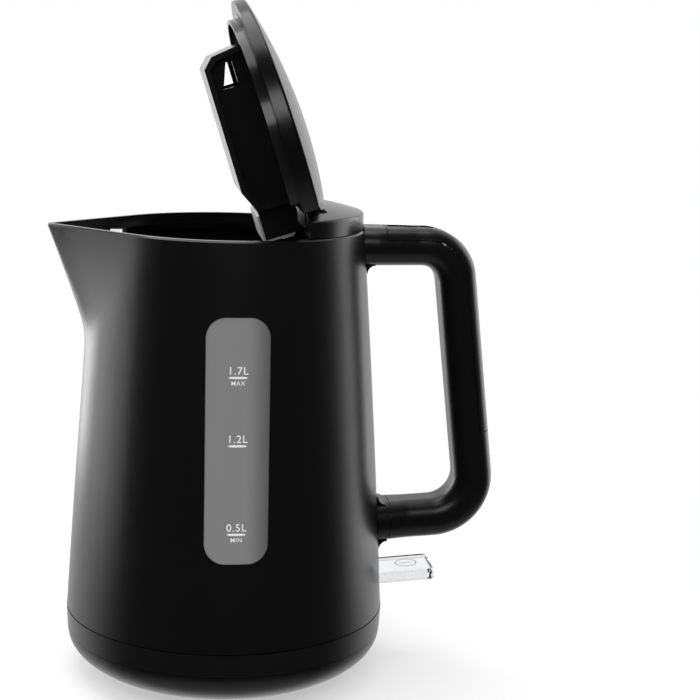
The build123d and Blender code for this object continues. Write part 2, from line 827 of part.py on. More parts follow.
with BuildPart() as lid_outer:
    lid_plan(rim + free, dome_apex, lid_chord_x)
    under_dome(0)
    fillet(lid_outer.faces().filter_by(GeomType.SPHERE)[0].outer_wire().edges(), lid_edge_round)
    add(lid_hollow.part, mode=Mode.SUBTRACT)
    for y in lug_sides:
        notch = (y - lug_width / 2 - slip, y + lug_width / 2 + slip)
        block((chord_inside - slip, lid_chord_x + overrun), notch, (rim, lug_top + slip), Mode.SUBTRACT)
finish(lid_outer.part.rotate(hinge_axis, lid_open_angle), "lid_outer")

# Lid liner: plate, round skirt, hanging tub with steam windows, latch tail and hinge lugs
tub_rise = liner_bottom + tub_end_rise
tub_lean = tub_end_rise / 2
liner_edge_x = chord_inside - slip
tub_points = [
    (tub_front_x, tub_rise),
    (tub_floor_front_x, liner_bottom),
    (tub_floor_rear_x, liner_bottom),
    (tub_rear_x, tub_rise),
    (tub_rear_x, lid_under + slip),
    (tub_front_x - tub_lean, lid_under + slip),
]

with BuildPart() as lid_tail:
    block((tub_rear_x - tub_wall, tail_end_x), (-tail_half_width, tail_half_width), (tub_rise, lid_under + slip))
    rod_y(pivot_x, pivot_z, barrel_radius + 2 * free, -lid_radius, lid_radius, Mode.SUBTRACT)

with BuildPart() as lid_liner:
    plan_part(lid_inside - slip, lid_under, lid_under + liner_plate, -lid_radius, liner_edge_x)
    with BuildSketch(Plane.XY.offset(lid_under - skirt_depth)):
        Circle(skirt_radius)
        Circle(skirt_radius - skirt_wall, mode=Mode.SUBTRACT)
        with Locations(((skirt_end_x - skirt_radius) / 2, 0)):
            Rectangle(skirt_end_x + skirt_radius, 2 * skirt_radius, mode=Mode.INTERSECT)
    extrude(amount=skirt_depth)
    with BuildSketch(Plane.XZ):
        Polygon(*tub_points, align=None)
    extrude(amount=tub_half_width, both=True)
    with BuildSketch(Plane.XZ):
        Polygon(*tub_points, align=None)
        offset(amount=-tub_wall, kind=Kind.INTERSECTION, mode=Mode.REPLACE)
    extrude(amount=tub_half_width - tub_panel_depth - tub_wall, both=True, mode=Mode.SUBTRACT)
    for outside in (tub_half_width - tub_panel_depth, -tub_half_width - overrun):
        with BuildSketch(Plane.XZ.offset(outside)):
            Polygon(*tub_points, align=None)
            offset(amount=-tub_border, kind=Kind.INTERSECTION, mode=Mode.REPLACE)
        extrude(amount=tub_panel_depth + overrun, mode=Mode.SUBTRACT)
    window_front = tub_front_x + tub_window_start
    window_rear = window_front + tub_window_length
    window_low = tub_rise + tub_window_rise
    window_high = window_low + tub_window_height
    with BuildSketch(Plane.XZ):
        Polygon(
            (window_front, window_high - tub_window_front),
            (window_rear, window_low),
            (window_rear, window_high),
            (window_front, window_high),
            align=None,
        )
    extrude(amount=tub_half_width + overrun, both=True, mode=Mode.SUBTRACT)
    add(lid_tail.part)
    for y in lug_sides:
        lug_y = (y - lug_width / 2, y + lug_width / 2)
        block((liner_edge_x - tub_wall, liner_edge_x), lug_y, (lid_under, lug_top))
        block((liner_edge_x - tub_wall, pivot_x), lug_y, (lug_bottom, lug_top))
        rod_y(pivot_x, pivot_z, eye_radius, *lug_y)
        rod_y(pivot_x, pivot_z, pin_radius + running, *lug_y, Mode.SUBTRACT)
finish(lid_liner.part.rotate(hinge_axis, lid_open_angle), "lid_liner")

with BuildPart() as lid_catch:
    catch_y = (-tail_half_width, tail_half_width)
    catch_low = tub_rise - catch_thickness
    catch_face = tail_end_x + catch_thickness
    rib_low = latch_top + 2 * free + catch_rib_radius
    rib_high = rib_low + catch_rib_pitch * (catch_rib_count - 1)
    block((tub_rear_x + tub_wall, catch_face), catch_y, (catch_low, tub_rise))
    block((tail_end_x, catch_face), catch_y, (catch_low, rib_high + catch_rib_pitch))
    for n in range(catch_rib_count):
        rod_y(catch_face, rib_low + catch_rib_pitch * n, catch_rib_radius, *catch_y)
finish(lid_catch.part.rotate(hinge_axis, lid_open_angle), "lid_catch")

# Hinge housing: the fixed rear cap, its front edge and its underside rounded about the hinge pin
housing_inside = jug_rim_radius - jug_wall - slip
hollow_start = tail_reach + housing_wall
wide = (-lid_radius, lid_radius)

with BuildPart() as housing_hollow:
    plan_part(housing_inside - housing_wall, mouth_top - overrun, dome_apex, hollow_start, lid_radius)
    under_dome(housing_wall)

with BuildPart() as lid_sweep:
    block((housing_chord_x - overrun, pivot_x), wide, (pivot_z, dome_apex))
    rod_y(pivot_x, pivot_z, nose_radius, *wide, Mode.SUBTRACT)

with BuildPart() as tail_sweep:
    block((housing_chord_x - overrun, tail_reach), (-tail_clear, tail_clear), (mouth_top - overrun, pivot_z))
    rod_y(pivot_x, pivot_z, barrel_radius, *wide, Mode.SUBTRACT)

with BuildPart() as hinge_housing:
    plan_part(lid_radius, rim + seam, dome_apex, housing_chord_x, lid_radius)
    under_dome(0)
    fillet(hinge_housing.faces().filter_by(GeomType.SPHERE)[0].outer_wire().edges(), lid_edge_round)
    plan_part(housing_inside, mouth_top, rim + seam + slip, housing_chord_x, lid_radius)
    add(lid_sweep.part, mode=Mode.SUBTRACT)
    add(tail_sweep.part, mode=Mode.SUBTRACT)
    for y in lug_sides:
        slot_y = (y - lug_width / 2 - lug_gap, y + lug_width / 2 + lug_gap)
        slot_x = (housing_chord_x - overrun, pivot_x + lug_height / 2 + lug_gap)
        rod_y(pivot_x, pivot_z, eye_radius + lug_gap, *slot_y, Mode.SUBTRACT)
        block(slot_x, slot_y, (lug_bottom - lug_gap, dome_apex), Mode.SUBTRACT)
    rod_y(pivot_x, pivot_z, pin_radius + slip, -pin_half_length, pin_half_length, Mode.SUBTRACT)
    rod_y(pivot_x, pivot_z, spring_radius + 2 * spring_wire, -spring_bay, spring_bay, Mode.SUBTRACT)
    leg_x = pivot_x - spring_radius
    leg_room = spring_wire + free
    leg_y = spring_pitch * spring_turns / 2
    high_leg_x = (housing_chord_x - overrun, leg_x + leg_room)
    block(high_leg_x, (-leg_y - leg_room, leg_room - leg_y), (pivot_z, dome_apex), Mode.SUBTRACT)
    low_leg_z = (pivot_z - spring_low_leg - free, pivot_z)
    low_leg_x = (leg_x - leg_room, leg_x + leg_room)
    block(low_leg_x, (leg_y - leg_room, leg_y + leg_room), low_leg_z, Mode.SUBTRACT)
    add(housing_hollow.part, mode=Mode.SUBTRACT)
finish(hinge_housing.part, "hinge_housing")

with BuildPart() as hinge_pin:
    rod_y(pivot_x, pivot_z, pin_radius, -pin_half_length, pin_half_length)
finish(hinge_pin.part, "hinge_pin")


# Lid spring: a torsion spring wound round the hinge pin, one leg on the housing and one under the lid
def coil_point(quarter):
    """A place on the coil and the direction of the wire there, after a count of quarter turns."""
    angle = pi + pi / 2 * quarter
    y = spring_pitch * (quarter / 4 - spring_turns / 2)
    place = Vector(pivot_x + spring_radius * cos(angle), y, pivot_z + spring_radius * sin(angle))
    climb = spring_pitch / (2 * pi) if 0 < quarter < 4 * spring_turns else 0
    heading = Vector(-spring_radius * sin(angle), climb, spring_radius * cos(angle))
    return place, heading.normalized()


def biarc(start, heading, end, end_heading):
    """Two arcs that leave a place along one direction and reach another along a second direction."""
    chord = end - start
    lean = chord.dot(heading + end_heading)
    spread = 2 * (1 - heading.dot(end_heading))
    reach = (sqrt(lean**2 + spread * chord.dot(chord)) - lean) / spread
    middle = (start + end + (heading - end_heading) * reach) / 2
    TangentArc(start, middle, tangent=heading)
    TangentArc(middle, end, tangent=end_heading * -1, tangent_from_first=False)


with BuildPart() as lid_spring:
    with BuildLine() as wire_path:
        first = coil_point(0)[0]
        last = coil_point(4 * spring_turns)[0]
        Line(first + Vector(0, 0, spring_high_leg), first)
        for quarter in range(4 * spring_turns):
            biarc(*coil_point(quarter), *coil_point(quarter + 1))
        Line(last, last - Vector(0, 0, spring_low_leg))
    with BuildSketch(Plane(origin=wire_path.line @ 0, z_dir=wire_path.line % 0)):
        Circle(spring_wire)
    sweep()
finish(lid_spring.part, "lid_spring")

wire_line = wire_path.wires()[0]
steps = 100 * spring_turns
coil_samples = [wire_line @ (n / steps) for n in range(steps + 1)]
half_turn = round(steps * pi * spring_radius / wire_line.length)
least_gap = min(
    (coil_samples[a] - coil_samples[b]).length
    for a in range(steps + 1)
    for b in range(a + half_turn, steps + 1)
)
print("lid spring: least gap between turns", round(least_gap - 2 * spring_wire, 2), "mm")

# Handle: a closed loop in side view, a little wider where it meets the jug
lean_length = hypot(1, handle_lean)
handle_root_x = jug_rim_radius - 3 * jug_wall
handle_far_x = handle_top_corner_x + handle_width


def handle_back(z, inset):
    """X of the handle's outer side at a height, set in from its surface."""
    return handle_top_corner_x + handle_lean * (handle_top - z) - inset * lean_length


def handle_front(z, inset):
    """X of the handle's finger side at a height, set in from its surface."""
    return grip_top_corner_x + handle_lean * (grip_top - z) + inset * lean_length


grip_run = handle_front(grip_bottom_corner_z, 0) - handle_root_x
bottom_run = handle_back(handle_bottom_corner_z, 0) - handle_root_x
grip_bottom_at_wall = grip_bottom + handle_grip_slope * (jug_radius(grip_bottom) - handle_root_x) / grip_run
handle_bottom_share = (jug_radius(handle_bottom_root_z) - handle_root_x) / bottom_run
handle_bottom_at_wall = handle_bottom_root_z + handle_bottom_slope * handle_bottom_share
root_seam_x = (handle_root_end_x + handle_flare_end_x) / 2
root_seam_run = root_seam_x - handle_root_x
groove_low = handle_bottom_root_z + handle_bottom_slope * root_seam_run / bottom_run + root_seam_depth
groove_high = grip_bottom + handle_grip_slope * root_seam_run / grip_run - root_seam_depth


def on_outer_side(edge):
    """True for an edge on the outside of the handle's loop."""
    middle = edge.center()
    if middle.Z > (handle_top + grip_top) / 2 or middle.Z < (handle_bottom_corner_z + grip_bottom) / 2:
        return True
    return 4 * middle.X > handle_back(middle.Z, 0) + 3 * handle_front(middle.Z, 0)


with BuildPart() as handle_blank:
    with BuildSketch(Plane.XZ):
        with BuildLine():
            FilletPolyline(
                (handle_root_x, handle_top),
                (handle_top_corner_x, handle_top),
                (handle_back(handle_bottom_corner_z, 0), handle_bottom_corner_z),
                (handle_root_x, handle_bottom_root_z),
                (handle_root_x, grip_bottom),
                (handle_front(grip_bottom_corner_z, 0), grip_bottom_corner_z),
                (grip_top_corner_x, grip_top),
                (handle_root_x, grip_top),
                radius=[0, handle_top_round, handle_bottom_round, 0, 0, grip_bottom_round, grip_top_round, 0],
                close=True,
            )
        make_face()
    extrude(amount=handle_root_width / 2, both=True)
    with BuildSketch(Plane.XY):
        with BuildLine():
            FilletPolyline(
                (0, handle_root_width / 2),
                (handle_root_end_x, handle_root_width / 2),
                (handle_flare_end_x, handle_width / 2),
                (2 * handle_far_x, handle_width / 2),
                radius=handle_flare_round,
            )
            mirror(about=Plane.XZ)
            Line((0, handle_root_width / 2), (0, -handle_root_width / 2))
            Line((2 * handle_far_x, handle_width / 2), (2 * handle_far_x, -handle_width / 2))
        make_face()
    extrude(amount=handle_top + overrun, mode=Mode.INTERSECT)
    long_edges = handle_blank.edges().filter_by(
        lambda edge: abs(edge.center().Y) > handle_width / 2 - slip and edge.center().X > handle_root_x + slip
    )
    fillet(long_edges.filter_by(on_outer_side), handle_outer_edge)
    long_edges = handle_blank.edges().filter_by(
        lambda edge: abs(edge.center().Y) > handle_width / 2 - slip and edge.center().X > handle_root_x + slip
    )
    fillet(long_edges.filter_by(lambda edge: not on_outer_side(edge)), handle_inner_edge)


def root_gusset(face_z, side):
    """A hollow fillet between the jug's wall and an arm, above or below the arm's face."""
    wall = jug_radius(face_z)
    with BuildSketch(Plane.XZ) as corner:
        with Locations((wall, face_z)):
            Rectangle(2 * handle_gusset, 2 * handle_gusset)
        with Locations((wall + handle_gusset, face_z + side * handle_gusset)):
            Circle(handle_gusset, mode=Mode.SUBTRACT)
    extrude(corner.sketch, amount=handle_gusset_width / 2, both=True)


def spine_region(gap, mode):
    """The outer part of the handle that the spine cover takes, pulled in by a gap."""
    corner_z = spine_under + gap
    with BuildSketch(Plane.XZ) as region:
        with BuildLine():
            FilletPolyline(
                (spine_start_x + gap, corner_z),
                (handle_back(corner_z, spine_thickness - gap), corner_z),
                (handle_back(spine_end_z + gap, spine_thickness - gap), spine_end_z + gap),
                radius=handle_top_round - spine_thickness + gap,
            )
            Polyline(
                (handle_back(spine_end_z + gap, spine_thickness - gap), spine_end_z + gap),
                (2 * handle_far_x, spine_end_z + gap),
                (2 * handle_far_x, handle_top + overrun),
                (spine_start_x + gap, handle_top + overrun),
                (spine_start_x + gap, corner_z),
            )
        make_face()
    extrude(region.sketch, amount=handle_root_width, both=True, mode=mode)


button_top = handle_top - button_sunk
button_bottom = button_top - button_thickness
spring_seat = cavity_floor_z + spring_seat_rise

with BuildPart() as handle_shell:
    add(handle_blank.part)
    root_gusset(grip_top, -1)
    root_gusset(grip_bottom_at_wall, 1)
    root_gusset(handle_bottom_at_wall, -1)
    cut_jug_outside(slip, handle_bottom_root_z - handle_gusset - overrun, handle_top + overrun)
    with BuildSketch(Plane.YZ.offset(root_seam_x)):
        with Locations((0, (groove_low + groove_high) / 2)):
            Rectangle(2 * handle_root_width, groove_high - groove_low + 2 * overrun)
            groove_width = (handle_root_width + handle_width) / 2 - 2 * root_seam_depth
            groove_round = handle_outer_edge - root_seam_depth
            RectangleRounded(groove_width, groove_high - groove_low, groove_round, mode=Mode.SUBTRACT)
    extrude(amount=seam, mode=Mode.SUBTRACT)
    spine_region(0, Mode.SUBTRACT)
    with BuildSketch(Plane.XZ):
        with BuildLine():
            FilletPolyline(
                (handle_root_x, spine_under),
                (handle_back(spine_under, spine_thickness), spine_under),
                (handle_back(handle_cavity_end_z, spine_thickness), handle_cavity_end_z),
                (handle_front(handle_cavity_end_z, handle_cavity_floor), handle_cavity_end_z),
                (handle_front(cavity_floor_z, handle_cavity_floor), cavity_floor_z),
                (handle_root_x, cavity_floor_z),
                radius=[0, handle_top_round - spine_thickness, 0, 0, grip_top_round + handle_cavity_floor, 0],
                close=True,
            )
        make_face()
    extrude(amount=handle_cavity_width / 2, both=True, mode=Mode.SUBTRACT)
    disc(spring_seat_radius, grip_top + slip, spring_seat, x=button_spring_x)
    for y in handle_screw_sides:
        rod_x(y, handle_screw_z, screw_radius + slip, 0, handle_screw_x + handle_screw_length, Mode.SUBTRACT)
finish(handle_shell.part, "handle_shell")

with BuildPart() as handle_cover:
    add(handle_blank.part)
    spine_region(seam, Mode.INTERSECT)
    with BuildSketch(Plane.XY.offset(spine_under - overrun)):
        with Locations((button_centre_x, 0)):
            SlotOverall(button_length + 2 * free, button_width + 2 * free)
    extrude(amount=spine_thickness + 2 * overrun, mode=Mode.SUBTRACT)
finish(handle_cover.part, "handle_cover")

with BuildPart() as handle_screws:
    for y in handle_screw_sides:
        rod_x(y, handle_screw_z, screw_head_radius, handle_screw_x - screw_head, handle_screw_x)
        rod_x(y, handle_screw_z, screw_radius, handle_screw_x, handle_screw_x + handle_screw_length)
finish(handle_screws.part, "handle_screws")

# Release button, its return spring, and the latch that its wedge pushes back
wedge_low = latch_top + button_travel + 2 * free
wedge_start = button_stem_x + button_stem_tip
latch_ramp = button_bottom - button_travel - 2 * free - latch_top
wedge_rise = button_stem_length - button_stem_tip
ramp_start = wedge_start - (wedge_low - latch_top) + free * sqrt(2)

with BuildPart() as release_button:
    with BuildSketch(Plane.XY.offset(button_bottom)):
        with Locations((button_centre_x, 0)):
            SlotOverall(button_length, button_width)
    extrude(amount=button_thickness)
    fillet(release_button.faces().sort_by(Axis.Z)[-1].edges(), button_sunk)
    with BuildSketch(Plane.XZ):
        Polygon(
            (button_stem_x, button_bottom + slip),
            (button_stem_x, wedge_low),
            (wedge_start, wedge_low),
            (wedge_start + wedge_rise, wedge_low + wedge_rise),
            (wedge_start + wedge_rise, button_bottom + slip),
            align=None,
        )
    extrude(amount=button_stem_width / 2, both=True)
    dish_reach = button_width / 2 - 2 * button_sunk
    dish_radius = (dish_reach**2 + button_dish**2) / (2 * button_dish)
    with Locations((button_centre_x, 0, button_top + dish_radius - button_dish)):
        Sphere(dish_radius, mode=Mode.SUBTRACT)
finish(release_button.part, "release_button")

with BuildPart() as button_spring:
    disc(button_spring_radius, spring_seat, button_bottom - free, x=button_spring_x)
    spring_hole = button_spring_radius - button_spring_wall
    disc(spring_hole, spring_seat - overrun, button_bottom + overrun, Mode.SUBTRACT, button_spring_x)
finish(button_spring.part, "button_spring")

with BuildPart() as release_latch:
    latch_side = (-latch_width / 2, latch_width / 2)
    block((latch_nose_x, latch_end_x), latch_side, (latch_bottom, latch_top))
    with BuildSketch(Plane.XZ):
        Polygon(
            (ramp_start, latch_top),
            (ramp_start + latch_ramp, latch_top + latch_ramp),
            (latch_end_x, latch_top + latch_ramp),
            (latch_end_x, latch_top),
            align=None,
        )
    extrude(amount=latch_width / 2, both=True)
finish(release_latch.part, "release_latch")

# Switch lever: a clear rocker through the jug's wall, on a pin between the cheeks of the underside cover
with BuildPart() as switch_lever:
    lever_side = (-lever_width / 2, lever_width / 2)
    lever_z = (lever_pivot_z - lever_thickness / 2, lever_pivot_z + lever_thickness / 2)
    block((lever_inner_x, lever_outer_x), lever_side, lever_z)
    tip_corners = switch_lever.edges().filter_by(Axis.Z).group_by(Axis.X)[-1]
    fillet(tip_corners, lever_corner)
    tip_edges = switch_lever.faces().sort_by(Axis.X)[-1].edges().filter_by(Axis.Y)
    chamfer(tip_edges, lever_tip_chamfer)
    rod_y(lever_pivot_x, lever_pivot_z, lever_pin_radius + running, *lever_side, Mode.SUBTRACT)
finish(switch_lever.part.rotate(lever_axis, -lever_rise), "switch_lever")

with BuildPart() as lever_pin:
    rod_y(lever_pivot_x, lever_pivot_z, lever_pin_radius, -cheek_outer, cheek_outer)
finish(lever_pin.part, "lever_pin")
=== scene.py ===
# A cordless jug kettle on its power base, seen with the lid up.
import math

import bmesh
import bpy
from mathutils import Matrix, Vector


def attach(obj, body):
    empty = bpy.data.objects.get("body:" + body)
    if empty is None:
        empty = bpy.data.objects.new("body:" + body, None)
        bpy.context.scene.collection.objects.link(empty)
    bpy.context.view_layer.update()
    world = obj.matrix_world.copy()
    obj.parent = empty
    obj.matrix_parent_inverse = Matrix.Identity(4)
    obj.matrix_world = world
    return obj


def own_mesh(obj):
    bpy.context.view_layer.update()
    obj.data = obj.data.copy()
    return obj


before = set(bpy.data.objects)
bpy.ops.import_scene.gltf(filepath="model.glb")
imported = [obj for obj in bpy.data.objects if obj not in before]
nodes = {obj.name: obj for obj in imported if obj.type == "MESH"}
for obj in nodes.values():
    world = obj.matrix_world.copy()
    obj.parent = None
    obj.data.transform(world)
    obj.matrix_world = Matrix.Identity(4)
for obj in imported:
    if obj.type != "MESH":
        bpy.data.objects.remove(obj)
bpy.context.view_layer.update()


# Power base: a shallow round bowl moulded in black plastic with a fine satin grain.
# Its bottom cover is screwed on from below, and a soft ring under it keeps it from sliding.
class Shade:
    """A shader socket. Sums and products of sockets add Math nodes to the same material."""

    def __init__(self, tree, socket=None):
        self.tree = tree
        self.socket = socket

    def node(self, kind, settings=None, inputs=None, output=0):
        """Adds a node: first its settings, then the values or links of its sockets."""
        made = self.tree.nodes.new("ShaderNode" + kind)
        for name, value in (settings or {}).items():
            if name == "stops":
                for stop, (place, colour) in zip(made.color_ramp.elements, value):
                    stop.position = place
                    stop.color = colour
            else:
                setattr(made, name, value)
        for name, value in (inputs or {}).items():
            if isinstance(value, Shade):
                self.tree.links.new(value.socket, made.inputs[name])
            else:
                made.inputs[name].default_value = value
        return Shade(self.tree, made.outputs[output] if made.outputs else None)

    def maths(self, operation, first, second):
        return self.node("Math", {"operation": operation}, {0: first, 1: second})

    def __add__(self, other):
        return self.maths("ADD", self, other)

    def __radd__(self, other):
        return self.maths("ADD", other, self)

    def __sub__(self, other):
        return self.maths("SUBTRACT", self, other)

    def __rsub__(self, other):
        return self.maths("SUBTRACT", other, self)

    def __mul__(self, other):
        return self.maths("MULTIPLY", self, other)

    def __rmul__(self, other):
        return self.maths("MULTIPLY", other, self)


def new_material(name):
    """An empty node material, with the shade that adds its nodes."""
    material = bpy.data.materials.new(name)
    material.use_nodes = True
    material.node_tree.nodes.clear()
    return material, Shade(material.node_tree)


grain_scale = 2600.0
grain_depth = 0.0002
drift_scale = 22.0
drift_shade = 0.8
drift_gloss = 0.03
polish_edge = 0.0006
polish_share = 0.6


def moulding(name, colour, roughness, grain, polished_from=1.0):
    """Moulded plastic: a fine grain from the mould, and a gloss that drifts and is higher above a height."""
    material, shade = new_material(name)
    place = shade.node("TexCoord", output=3)
    height = shade.node("SeparateXYZ", {}, {0: place}, output=2)
    polish = shade.node("MapRange", {}, {0: height, 1: polished_from, 2: polished_from + polish_edge})
    drift = shade.node("TexNoise", {}, {"Vector": place, "Scale": drift_scale, "Detail": 3.0})
    speckle = shade.node("TexNoise", {}, {"Vector": place, "Scale": grain_scale, "Detail": 2.0})
    bump = shade.node("Bump", {}, {"Height": speckle, "Strength": grain, "Distance": grain_depth})
    deeper = tuple(part * drift_shade for part in colour) + (1.0,)
    tone = shade.node("Mix", {"data_type": "RGBA"}, {0: drift, 6: deeper, 7: colour + (1.0,)}, output=2)
    surface = shade.node(
        "BsdfPrincipled",
        {},
        {
            "Base Color": tone,
            "Roughness": (roughness - drift_gloss + 2 * drift_gloss * drift) * (1 - polish_share * polish),
            "Normal": bump,
        },
    )
    shade.node("OutputMaterial", {}, {"Surface": surface})
    return material


def dress(material, *names):
    """Gives CAD nodes a material."""
    for name in names:
        mesh = nodes[name].data
        mesh.materials.clear()
        mesh.materials.append(material)


deep_black = (0.003, 0.003, 0.0031)
satin_gloss = 0.31
satin_grain = 0.1
satin_black = moulding("satin_black", deep_black, satin_gloss, satin_grain)
soft_black = moulding("soft_black", (0.02, 0.02, 0.02), 0.7, 0.3)
dress(satin_black, "base_upper_shell", "base_lower_cover", "base_connector")
dress(soft_black, "foot_ring", "cord_inlet")


# Contacts, pins and screws: turned brass for what carries the current, plated steel for the fasteners.
# They are hidden under the kettle and show when it is lifted off its base.
tool_mark_scale = 320.0
tool_mark_gloss = 0.08


def metal(name, colour, roughness):
    """Bare metal with faint marks left by the tool."""
    material, shade = new_material(name)
    place = shade.node("TexCoord", output=3)
    marks = shade.node("TexNoise", {}, {"Vector": place, "Scale": tool_mark_scale, "Detail": 4.0})
    surface = shade.node(
        "BsdfPrincipled",
        {},
        {
            "Base Color": colour + (1.0,),
            "Metallic": 1.0,
            "Roughness": roughness - tool_mark_gloss + 2 * tool_mark_gloss * marks,
        },
    )
    shade.node("OutputMaterial", {}, {"Surface": surface})
    return material


contact_brass = metal("contact_brass", (0.75, 0.55, 0.3), 0.3)
plated_steel = metal("plated_steel", (0.62, 0.62, 0.63), 0.28)
dress(contact_brass, "base_contacts", "connector_pins", "bimetal_discs")
dress(plated_steel, "base_screws", "underside_screws", "handle_screws", "hinge_pin", "lever_pin")
dress(plated_steel, "lid_spring", "button_spring")
dress(satin_black, "connector_plug")

# Jug and bottom ring: one tall tapered wall drawn out into a spout, moulded in the same satin black.
# The rim is polished, and the ring below the wall closes the bottom and carries the underside cover.
rim_polish_height = 0.2282
jug_black = moulding("jug_black", deep_black, satin_gloss, satin_grain, rim_polish_height)
dress(jug_black, "jug_body")
dress(satin_black, "bottom_ring", "underside_cover")

# Heating plate and what is under it: a pressed steel disc on a soft seal, with a cast spreader and element.
# The pale control with its trip rod cuts the current when the water boils.
brushed_steel = metal("brushed_steel", (0.66, 0.66, 0.66), 0.34)
control_grey = moulding("control_grey", (0.5, 0.5, 0.47), 0.5, 0.1)
dress(brushed_steel, "heating_plate", "heat_spreader", "heating_element")
dress(soft_black, "element_seal")
dress(control_grey, "thermostat_control", "trip_rod")
dress(satin_black, "steam_tube")

# Mouth ring, bridge and filter: a black ledge round the filling hole, and a pale frame with a fine net
# that drops through the bridge and keeps scale out of the cup.
filter_pale = moulding("filter_pale", (0.8, 0.8, 0.8), 0.4, 0.1)
mouth_black = moulding("mouth_black", deep_black, 0.1, 0.02)
dress(mouth_black, "mouth_ring")
dress(filter_pale, "filter_frame")
dress(brushed_steel, "filter_mesh")

# Level window: a grey see-through strip set into the wall, smoother than the plastic round it, with painted
# shade that darkens its grey towards one side.
# White litre marks are printed on its face: a number over a bar, and a small word under the end marks.
wall_foot = 0.0338
wall_height = 0.1954
foot_radius = 0.0814
wall_taper = 0.0144
wall_swell = 0.0027
window_sunk = 0.00035
print_proud = 0.00004
letter_weight = 0.006
letter_spacing = 1.12
level_heights = {"1.7L": 0.1661, "1.2L": 0.1340, "0.5L": 0.0919}
level_words = {"1.7L": "MAX", "0.5L": "MIN"}
number_height = 0.0036
number_rise = 0.0031
word_height = 0.0020
word_drop = 0.0027
bar_length = 0.009
bar_thickness = 0.00105
bar_steps = 32


def on_window(x, z):
    """A place just proud of the window's face, at a distance to the side and a height."""
    share = (z - wall_foot) / wall_height
    radius = foot_radius - wall_taper * share + wall_swell * share * (1 - share) - window_sunk
    return Vector((x, -math.sqrt(radius**2 - x**2) - print_proud, z))


def print_word(name, letters, height, middle):
    """Letters printed on the window, of a cap height and centred at a height."""
    curve = bpy.data.curves.new(name, "FONT")
    curve.body = letters
    curve.align_x = "CENTER"
    curve.align_y = "CENTER"
    curve.offset = letter_weight
    curve.space_character = letter_spacing
    typed = bpy.data.objects.new(name, curve)
    mesh = bpy.data.meshes.new_from_object(typed)
    bpy.data.objects.remove(typed)
    flat = [vertex.co.copy() for vertex in mesh.vertices]
    scale = height / (max(place.y for place in flat) - min(place.y for place in flat))
    for vertex, place in zip(mesh.vertices, flat):
        vertex.co = on_window(place.x * scale, middle + place.y * scale)
    add_print(name, mesh)


def print_bar(name, middle):
    """A bar with drawn-out ends, printed on the window at a height."""
    mesh = bmesh.new()
    rows = []
    for n in range(bar_steps + 1):
        along = 2 * n / bar_steps - 1
        half = bar_thickness / 2 * (1 - along**4) ** 0.5
        rows.append([
            mesh.verts.new(on_window(along * bar_length / 2, middle + side * half))
            for side in (-1, 0, 1)
        ])
    for before, after in zip(rows, rows[1:]):
        for low in (0, 1):
            mesh.faces.new((before[low], after[low], after[low + 1], before[low + 1]))
    bmesh.ops.remove_doubles(mesh, verts=mesh.verts, dist=1e-7)
    made = bpy.data.meshes.new(name)
    mesh.to_mesh(made)
    add_print(name, made)


def add_print(name, mesh):
    """Puts a printed mark on the kettle."""
    mesh.materials.clear()
    mesh.materials.append(print_white)
    mark = bpy.data.objects.new(name, mesh)
    bpy.context.scene.collection.objects.link(mark)
    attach(mark, "kettle")


window_pale = (0.2, 0.2, 0.2, 1.0)
window_shaded_grey = (0.09, 0.09, 0.09, 1.0)
window_shade_start = 0.003
window_shade_end = 0.017
window_grey, shade = new_material("window_grey")
place = shade.node("TexCoord", output=3)
across = shade.node("SeparateXYZ", {}, {0: place})
cloud = shade.node("TexNoise", {}, {"Vector": place, "Scale": 30.0, "Detail": 2.0})
# Painted shade: across the window the grey is mixed smoothly into a darker grey, standing in for the shade
# that falls on its far side.
painted_shade = shade.node(
    "MapRange", {"interpolation_type": "SMOOTHSTEP"}, {0: across, 1: window_shade_start, 2: window_shade_end}
)
tone = shade.node("Mix", {"data_type": "RGBA"}, {0: painted_shade, 6: window_pale, 7: window_shaded_grey}, output=2)
surface = shade.node("BsdfPrincipled", {}, {"Base Color": tone, "Roughness": 0.26 + 0.06 * cloud})
shade.node("OutputMaterial", {}, {"Surface": surface})
print_white = moulding("print_white", (0.85, 0.85, 0.85), 0.5, 0.05)
dress(window_grey, "level_window")
for litres, level in level_heights.items():
    print_bar("level_bar_" + litres, level)
    print_word("level_number_" + litres, litres, number_height, level + number_rise)
for litres, word in level_words.items():
    print_word("level_word_" + word.lower(), word, word_height, level_heights[litres] - word_drop)

# Handle: a closed loop with a spine cover let into its outer side and a sunk button on top.
# The button draws back the latch that holds the lid, and shortens the spring under it.
dress(satin_black, "handle_shell", "handle_cover", "release_button", "release_latch")
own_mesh(nodes["button_spring"])

# Switch lever: a clear moulded rocker with softened edges.
# It comes through the wall under the handle, where a steel pin carries it.
lever_pivot_x = 0.0695
lever_pivot_z = 0.0464
lever_top = 0.003
lever_tilt = math.radians(4.2)
lever_edge_round = 0.0009
clear_plastic, shade = new_material("clear_plastic")
surface = shade.node(
    "BsdfPrincipled",
    {},
    {"Base Color": (0.8, 0.81, 0.82, 1.0), "Roughness": 0.06, "IOR": 1.49, "Transmission Weight": 1.0},
)
shade.node("OutputMaterial", {}, {"Surface": surface})
dress(clear_plastic, "switch_lever")
edges = nodes["switch_lever"].modifiers.new("soft_edges", "BEVEL")
edges.width = lever_edge_round
edges.segments = 3
edges.limit_method = "ANGLE"
edges.angle_limit = math.radians(30)


def on_lever(along, side, lift):
    """A place on the lever's top face, from its pivot, at the lever's resting angle."""
    rise = lever_top + lift
    return Vector((
        lever_pivot_x + along * math.cos(lever_tilt) - rise * math.sin(lever_tilt),
        side,
        lever_pivot_z + along * math.sin(lever_tilt) + rise * math.cos(lever_tilt),
    ))


